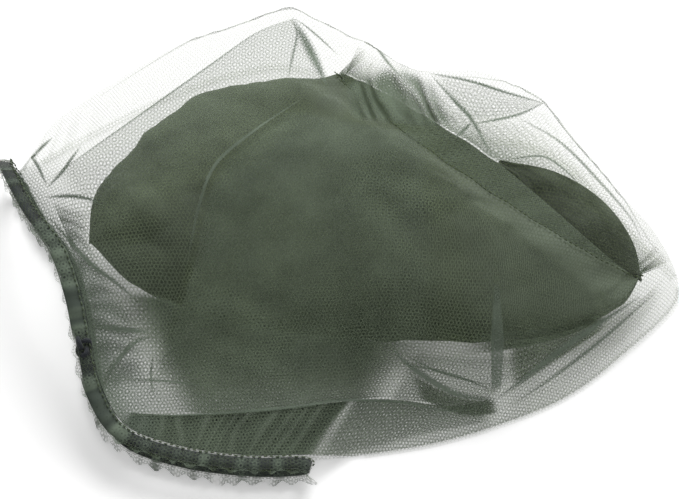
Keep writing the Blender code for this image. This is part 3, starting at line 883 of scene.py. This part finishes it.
# %% Rim netting
RIM_STEPS = 10
RIM_GAP = 0.0008
FUNNEL_OUT = 0.6
FUNNEL_REACH = 0.02
FUNNEL_LEAST = 0.003
FUNNEL_SMOOTH = 5
FUNNEL_PLEATS = 36
FUNNEL_PLEAT_DEPTH = 0.0016
FUNNEL_GATHER = (0.50, 0.06)
FUNNEL_FLAT = 0.35
rim = cap_grid[0, :-1]
rim_down = unit(cap_grid[1, :-1] - rim)
round_rim = unit(np.roll(rim, -1, axis=0) - np.roll(rim, 1, axis=0))
rim_out = unit(np.cross(rim_down, round_rim))
rim_out = rim_out * np.sign(np.sum(rim_out * (rim - rim.mean(axis=0))))
ways = unit(rim_out * FUNNEL_OUT - rim_down)
starts = rim - rim_down * RIM_GAP
hits = [net_tree.ray_cast(Vector(start), Vector(way))[3] for start, way in zip(starts, ways)]
lengths = [(hit or FUNNEL_REACH) - FUNNEL_LEAST for hit in hits]
smoothing = np.ones(FUNNEL_SMOOTH) / FUNNEL_SMOOTH
lengths = np.convolve(np.tile(lengths, 3), smoothing, "same")[len(rim):2 * len(rim)]
lengths = np.maximum(lengths, FUNNEL_LEAST)
pleat_waves = np.sin(2 * math.pi * FUNNEL_PLEATS * np.arange(len(rim)) / len(rim))
funnel = []
for share in np.linspace(0.0, 1.0, RIM_STEPS + 1):
    pleat = FUNNEL_PLEAT_DEPTH * share * pleat_waves
    ring = starts + ways * (lengths * share)[:, None] + rim_out * pleat[:, None]
    funnel.append(close_ring(ring))
funnel_gather = np.linspace(*FUNNEL_GATHER, RIM_STEPS + 1)[:, None]
turn_in = sew("net_rim_funnel", np.array(funnel), olive_net, gather_and_painted_shade=funnel_gather)
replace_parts(turn_in, "net_turn_in")
declare(turn_in, FUNNEL_FLAT)

# %% [markdown]
# ## How a ply is laid
# The bag holds more net than its size needs, so plies of it lie folded against the upper panel. Each is cut
# between two edges seen in the photograph, and sight lines lay it just inside the panel. A line that misses
# near the outline is pulled in by small steps. Fades keep a ply from looking cut out.

# %% Ply helpers
PULL_STEPS = 12
PULL = 0.012
PULL_MIDDLE = (350, 250)
PLY_LEAST_HEIGHT = 0.0012
PLY_FLAT = 0.12
DRIFT = 6.0
DRIFT_SCALE = (0.09, 0.05, 900)
STREAK = 0.22


def lay(across, down, behind):
    """The place where a sight line meets the upper panel, moved along the line."""
    for inward in range(PULL_STEPS):
        pulled = [at + (middle - at) * inward * PULL for at, middle in zip((across, down), PULL_MIDDLE)]
        way = sight_line(*pulled)
        spot = net_tree.ray_cast(EYE, way)[0]
        if spot is not None:
            point = spot + way * behind
            return (point.x, point.y, max(point.z, PLY_LEAST_HEIGHT))
    raise ValueError((across, down))


def ease(share, run):
    """Rises from 0 to 1 over a run of the share, or is 1 where there is no run."""
    step = min(1.0, share / run) if run else 1.0
    return step * step * (3.0 - 2.0 * step)


def ply(name, first, second, behind, gathers_and_painted_shade, fades, columns=60, rows=30, pleats=0, pleat_depth=0.001,
        cloth=olive_net, slot="olive_net"):
    """Lay a ply between two lines. Fades thin it out at its start, end, first and second line."""
    first = even_line(smooth_line(first), columns + 1)
    second = even_line(smooth_line(second), columns + 1)
    points = np.empty((rows + 1, columns + 1, 3))
    gather_and_painted_shade = np.empty((rows + 1, columns + 1))
    for row in range(rows + 1):
        for column in range(columns + 1):
            run, share = column / columns, row / rows
            across, down = first[column] + (second[column] - first[column]) * share
            drift = DRIFT * noise.noise(Vector(np.multiply((column, row, behind), DRIFT_SCALE)))
            wave = math.sin(2 * math.pi * pleats * run + drift)
            points[row, column] = lay(across, down, behind + pleat_depth * (1.0 + wave) / 2)
            thin = ease(run, fades[0]) * ease(1.0 - run, fades[1])
            thin *= ease(share, fades[2]) * ease(1.0 - share, fades[3])
            streak = 1.0 + STREAK * wave if pleats else 1.0
            gather_and_painted_shade[row, column] = (gathers_and_painted_shade[0] + (gathers_and_painted_shade[1] - gathers_and_painted_shade[0]) * share) * streak * thin
    declare(sew(name, points, cloth, gather_and_painted_shade=gather_and_painted_shade), PLY_FLAT)


print("a ply may be pulled in by", round(100 * PULL * (PULL_STEPS - 1)), "percent")

# %% [markdown]
# ## Plies over the cap and at the neck
# A wide ply stands over the cap up to the bag's peak, a second one covers the cap's middle, and a dense one
# hangs in front. At the neck the elastic pleats the net, and a dense flap lies behind the near stretch of
# the hem. The front ply and the flap are painted darker as shade, through their high gather values. Each
# row gives a ply's two lines in picture points, how far behind the panel it lies, its gather value at each
# line, its fades and what is special to it.

# %% Plies over the cap and at the neck
MAIN_PLIES = (
    ("ply_peak", ((45, 182), (87, 152), (124, 126), (182, 85), (213, 63), (256, 33), (292, 19)),
     ((100, 262), (150, 235), (200, 200), (270, 150), (331, 92)),
     0.002, (0.34, 0.26), (0.1, 0, 0, 0.3), {}),
    ("ply_middle", ((303, 98), (255, 130), (215, 165), (198, 210), (188, 260), (165, 330), (132, 408)),
     ((432, 130), (465, 150), (487, 190), (496, 240), (498, 300), (498, 350), (497, 398)),
     0.003, (0.50, 0.36), (0.1, 0.15, 0.04, 0.3), {}),
    # The front ply is dense enough that the net's finish paints it darker, as shade
    ("ply_front", ((92, 292), (150, 292), (210, 314), (300, 332), (440, 342)),
     ((160, 409), (200, 413), (250, 411), (345, 400), (410, 396)),
     0.004, (0.95, 0.68), (0.20, 0.24, 0.06, 0), {}),
    ("ply_neck", ((50, 196), (70, 245), (82, 295), (88, 345), (98, 395)),
     ((108, 205), (98, 245), (125, 290), (160, 325), (165, 402)),
     0.002, (0.54, 0.26), (0.1, 0.1, 0, 0.5), {"pleats": 9, "pleat_depth": 0.003}),
    # The flap is dense enough that the net's finish paints it darker, as shade
    ("ply_flap", ((118, 412), (180, 415), (250, 411), (300, 406), (357, 400)),
     ((108, 438), (150, 462), (195, 470), (240, 474), (302, 474)),
     0.005, (0.98, 1.08), (0.1, 0.06, 0, 0), {"pleats": 13, "pleat_depth": 0.003}),
)
for *row, special in MAIN_PLIES:
    ply(*row, **special)

# %% [markdown]
# ## Plies on the far right
# Beyond the cap's rim the bag narrows to its pointed end. A pleated band of net hangs over the rim, two thin
# plies fold back from the bag's corner, and the underside of the cap's lip lies below them, darkened as
# painted shade.

# %% Plies on the far right
RIGHT_PLIES = (
    ("ply_rim_band", ((334, 84), (362, 68), (385, 58), (410, 64), (436, 76)),
     ((345, 122), (375, 128), (410, 132), (440, 134), (476, 126)),
     0.003, (0.55, 0.76), (0.15, 0.3, 0.3, 0.25), {"pleats": 6, "pleat_depth": 0.004}),
    ("ply_point", ((430, 73), (470, 80), (508, 92), (544, 103)),
     ((452, 100), (468, 119), (500, 119), (543, 104)),
     0.003, (0.26, 0.32), (0.1, 0, 0, 0.1), {}),
    ("ply_right", ((472, 124), (510, 118), (555, 145), (600, 185), (640, 245)),
     ((495, 157), (530, 170), (565, 190), (605, 222), (640, 262)),
     0.003, (0.12, 0.10), (0.2, 0.2, 0.3, 0), {}),
    # The underside of the cap's lip is darkened by its gather value, as painted shade
    ("cap_under_lip", ((500, 160), (556, 172), (602, 200), (632, 240), (642, 280)),
     ((498, 162), (550, 206), (600, 250), (625, 270), (641, 282)),
     0.012, (0.00, 0.42), (0, 0, 0, 0), {"cloth": olive_cloth, "slot": "olive_cloth"}),
)
for *row, special in RIGHT_PLIES:
    ply(*row, **special)

# %% [markdown]
# ## Plies on the near side
# In front of the cap the net runs down to the table in slack folds, which meet at one tuck. Between the
# cap's lower edge and the nearest fold the net lies in shade, and two dense plies there add painted shade.
# Narrow plies need few rows of faces.

# %% Plies on the near side
NEAR_PLIES = (
    ("ply_near_right", ((500, 398), (540, 368), (590, 335), (640, 300), (662, 278)),
     ((497, 422), (545, 405), (590, 374), (635, 332), (666, 290)),
     0.002, (0.30, 0.14), (0.1, 0.1, 0, 0.2), {}),
    ("ply_near_edge", ((345, 400), (400, 400), (450, 406), (499, 398)),
     ((300, 472), (350, 462), (420, 440), (498, 424)),
     0.002, (0.68, 0.36), (0.1, 0.1, 0, 0.25), {}),
    ("ply_low", ((410, 346), (450, 350), (500, 350), (560, 343)),
     ((385, 398), (430, 402), (470, 404), (505, 396)),
     0.003, (0.36, 0.44), (0.10, 0.2, 0.2, 0), {}),
    # A dense ply of net under the cap, dark as painted shade
    ("ply_under_cap", ((440, 336), (505, 332), (560, 326), (606, 312)),
     ((440, 362), (505, 352), (560, 339), (612, 318)),
     0.010, (0.95, 0.90), (0.5, 0.1, 0, 0.2), {"rows": 12}),
    # A dense ply of net over the gap under the cap, as painted shade on the table
    ("ply_gap", ((502, 340), (535, 338), (570, 330), (612, 314)),
     ((502, 400), (535, 380), (570, 355), (616, 322)),
     0.006, (0.72, 0.62), (0.16, 0.2, 0, 0.25), {"rows": 16}),
    ("ply_near_fold", ((398, 362), (430, 382), (462, 396), (502, 400)),
     ((410, 398), (440, 410), (470, 418), (502, 414)),
     0.004, (0.60, 0.76), (0.25, 0.12, 0.2, 0.2), {"rows": 16}),
    ("ply_tuck", ((496, 262), (493, 300), (490, 345), (491, 396)),
     ((498, 262), (501, 300), (505, 345), (501, 396)),
     -0.002, (0.62, 0.50), (0.3, 0.1, 0.1, 0.1), {"columns": 40, "rows": 8}),
)
for *row, special in NEAR_PLIES:
    ply(*row, **special)

# %% [markdown]
# ## Pinched folds
# Stiff net keeps narrow pinched folds. Along each one the net lies three plies deep, so it reads as a
# darker line. They are made as slim tapered ribbons of dense net on the bag. Each row gives a ribbon's half
# width in millimetres, its gather value and its line in picture points.

# %% Pinched folds
PINCHES = (
    # At the peak
    (3.2, 0.85, ((292, 18), (301, 33), (310, 50), (319, 68), (327, 86))),
    (1.2, 0.60, ((293, 20), (297, 35), (293, 55), (288, 78))),
    (0.9, 0.60, ((293, 18), (303, 24), (321, 39), (338, 55))),
    (0.7, 0.60, ((45, 182), (87, 152), (124, 126), (182, 85), (213, 63), (256, 33), (291, 19))),
    (1.1, 0.90, ((303, 98), (255, 130), (215, 165), (198, 210), (188, 260))),
    # At the neck
    (1.2, 0.85, ((47, 188), (62, 172), (72, 158), (80, 147))),
    (1.5, 0.85, ((46, 197), (70, 196), (90, 199), (103, 206))),
    (1.6, 0.90, ((50, 218), (87, 260), (115, 282), (139, 302))),
    (2.2, 0.90, ((93, 326), (120, 329), (149, 332))),
    (1.8, 0.85, ((104, 384), (114, 365), (134, 343), (152, 336))),
    (0.9, 0.70, ((153, 354), (151, 375), (153, 396))),
    (0.9, 0.70, ((122, 380), (165, 381), (212, 387))),
    (1.2, 0.80, ((24, 150), (36, 163), (47, 186))),
    (1.2, 0.80, ((32, 158), (41, 148), (52, 138))),
    # On the far right
    (1.1, 0.70, ((365, 30), (386, 60), (404, 80))),
    (1.5, 0.80, ((432, 76), (452, 98), (472, 120), (493, 158))),
    (1.2, 0.75, ((430, 73), (470, 81), (505, 92), (544, 103))),
    (1.2, 0.75, ((544, 103), (520, 114), (495, 120), (472, 124))),
    (1.3, 0.80, ((472, 122), (464, 130), (455, 138))),
    (0.9, 0.70, ((505, 160), (540, 156), (560, 166), (583, 188))),
    (1.1, 0.65, ((515, 116), (560, 142), (600, 182), (630, 217), (642, 240))),
    # On the near side
    (2.2, 0.85, ((497, 400), (460, 395), (430, 380), (405, 362), (390, 345))),
    (1.2, 0.75, ((494, 391), (450, 374), (400, 363))),
    (0.9, 0.70, ((492, 386), (440, 372), (400, 352))),
    (2.6, 0.85, ((497, 399), (530, 374), (565, 347), (600, 323), (640, 297))),
    (1.5, 0.70, ((515, 403), (560, 372), (600, 341), (640, 306), (656, 292))),
    (1.2, 0.85, ((130, 415), (180, 415), (250, 411), (300, 406), (345, 400), (400, 402), (450, 411),
                 (495, 404))),
    # Along the outline
    (0.6, 0.45, ((100, 96), (170, 52), (230, 21), (290, 7), (330, 10), (366, 30), (402, 58), (431, 73))),
    (0.7, 0.45, ((432, 75), (480, 78), (528, 87), (560, 107), (590, 142), (620, 192), (650, 242),
                 (669, 268))),
)
PINCH_POINTS = 41
PINCH_LIFT = 0.0006
PINCH_FLAT = 0.05
PINCH_ENDS = (0.04, 0.96)
PINCH_ACROSS = (-1.0, -0.5, 0.0, 0.5, 1.0)
PINCH_DEPTH = (0.15, 0.6, 1.0, 0.6, 0.15)
taper = np.sin(math.pi * np.linspace(*PINCH_ENDS, PINCH_POINTS)) ** 0.5
shape = bmesh.new()
for width, gather_and_painted_shade, line in PINCHES:
    path = even_line(smooth_line(line), PINCH_POINTS)
    side = unit(np.gradient(path, axis=0))[:, ::-1] * (1.0, -1.0)
    half = width / 1000 / POINT * taper[:, None]
    lines = [path + side * half * across for across in PINCH_ACROSS]
    points = np.array([[lay(*spot, -PINCH_LIFT) for spot in line] for line in lines])
    add_cloth(shape, points, gather_and_painted_shade=gather_and_painted_shade * np.array(PINCH_DEPTH)[:, None] * taper)
folds = finish_piece("pinched_folds", shape, olive_net)
declare(folds, PINCH_FLAT)
print(len(PINCHES), "pinched folds")

# %% [markdown]
# ## Seams
# The two panels are sewn together in a narrow strip round the edge on the table. One strip runs on each
# side of the bag's pointed end, and its net is slightly waved by the sewing.

# %% Seams
SEAM_WIDTH = 0.004
SEAM_ROWS = 4
SEAM_POINTS = 401
SEAM_HEIGHT = 0.0008
SEAM_WAVE = 0.0004
SEAM_WAVE_STEP = 1.9
SEAM_WAVE_SHIFT = 600
SEAM_GATHER = 0.16
SEAM_END = 0.01
TIP_SHARE = 0.345
TIP_GAP = 0.004
edge_line = even_line(table_edge, SEAM_POINTS)[:, :3]
edge_along = unit(np.gradient(edge_line, axis=0))
edge_out = np.column_stack((edge_along[:, 1], -edge_along[:, 0], np.zeros(SEAM_POINTS)))


def seam(name, node, start, end):
    span = slice(round(start * SEAM_POINTS), round(end * SEAM_POINTS))
    rows = []
    for off in np.linspace(-SEAM_WIDTH / 2, SEAM_WIDTH / 2, SEAM_ROWS):
        row = edge_line[span] + edge_out[span] * off
        waves = np.sin(np.arange(len(row)) * SEAM_WAVE_STEP + SEAM_WAVE_SHIFT * off)
        row[:, 2] = SEAM_HEIGHT + SEAM_WAVE * waves
        rows.append(row)
    piece = sew(name, np.array(rows), olive_net, gather_and_painted_shade=SEAM_GATHER)
    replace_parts(piece, node)
    declare(piece, SEAM_WIDTH)


seam("near_seam_strip", "near_side_seam", SEAM_END, TIP_SHARE - TIP_GAP)
seam("far_seam_strip", "far_side_seam", TIP_SHARE + TIP_GAP, 1.0 - SEAM_END)

# %% [markdown]
# ## Stitches
# Thread shows as short stitches along the hem and the cap's rim. Each one is a small tube with pointed ends,
# made from a grid that is rolled round a line, so hundreds of them cost few faces.

# %% Stitches
STITCH = 0.0022
STITCH_STEP = 0.0030
STITCH_POINTS = 5
STITCH_SIDES = 6
THREAD = 0.0004
HEM_MARGIN = 0.0010
RIM_STITCH_OUT = 0.0012
RIM_STITCH_DOWN = 0.0010
TUBE_LEAN = (0.3, 0.2, 0.9)


def add_tube(shape, line, radius, ends, sides):
    """Add a tube along a line of points, its radius times ends at the first and last one."""
    along = unit(np.gradient(line, axis=0))
    side = unit(np.cross(along, TUBE_LEAN))
    up = np.cross(along, side)
    thick = np.full(len(line), radius)
    thick[[0, -1]] *= ends
    turns = np.linspace(0.0, 2 * math.pi, sides + 1)[None, :, None]
    ring = np.cos(turns) * side[:, None] + np.sin(turns) * up[:, None]
    add_cloth(shape, line[:, None] + thick[:, None, None] * ring)


def stitches(name, node, place, length):
    shape = bmesh.new()
    count = round(length / STITCH_STEP)
    for number in range(count):
        shares = (number + np.linspace(0.0, STITCH / STITCH_STEP, STITCH_POINTS)) / count
        add_tube(shape, np.array([place(share) for share in shares]), THREAD, 0.0, STITCH_SIDES)
    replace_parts(finish_piece(name, shape, olive_thread), node)
    print(name, count)


def hem_thread(share):
    return neck_point(share, HEM_MARGIN - CASING_HALF, -CASING_MIDDLE * casing_rise(share) - THREAD)


def rim_thread(share):
    return read_line(rim_line, rim_travel, share * rim_travel[-1])


rim_line = close_ring(rim + rim_out * RIM_STITCH_OUT + rim_down * RIM_STITCH_DOWN)
rim_travel = travel(rim_line)
stitches("hem_stitches", "hem_stitching", hem_thread, neck_length)
stitches("rim_stitches", "rim_stitching", rim_thread, rim_travel[-1])

# %% [markdown]
# ## The knot
# The elastic's two ends are tied in a knot on the hem. A closed line in the form of a trefoil is the simplest
# true knot, and a tube along it is pressed flat to the hem's own directions.

# %% Knot
KNOT_SHARE = 0.245
KNOT_HALF = (0.0052, 0.0036, 0.0022)
KNOT_CORD = 0.0012
KNOT_POINTS = 73
KNOT_SIDES = 8
turns = np.linspace(0.0, 2 * math.pi, KNOT_POINTS)
trefoil = np.column_stack((np.sin(turns) + 2 * np.sin(2 * turns), np.cos(turns) - 2 * np.cos(2 * turns),
                           -3 * np.sin(3 * turns))) / 3
knot_place, *knot_ways = [read_line(way, neck_travel, KNOT_SHARE * neck_length) for way in neck_ways]
shape = bmesh.new()
add_tube(shape, knot_place + (trefoil * KNOT_HALF) @ np.array(knot_ways), KNOT_CORD, 1.0, KNOT_SIDES)
knot = finish_piece("elastic_tied_knot", shape, black_elastic)
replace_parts(knot, "elastic_knot")
print("knot", round(2000 * KNOT_HALF[0], 1), "mm along the hem")
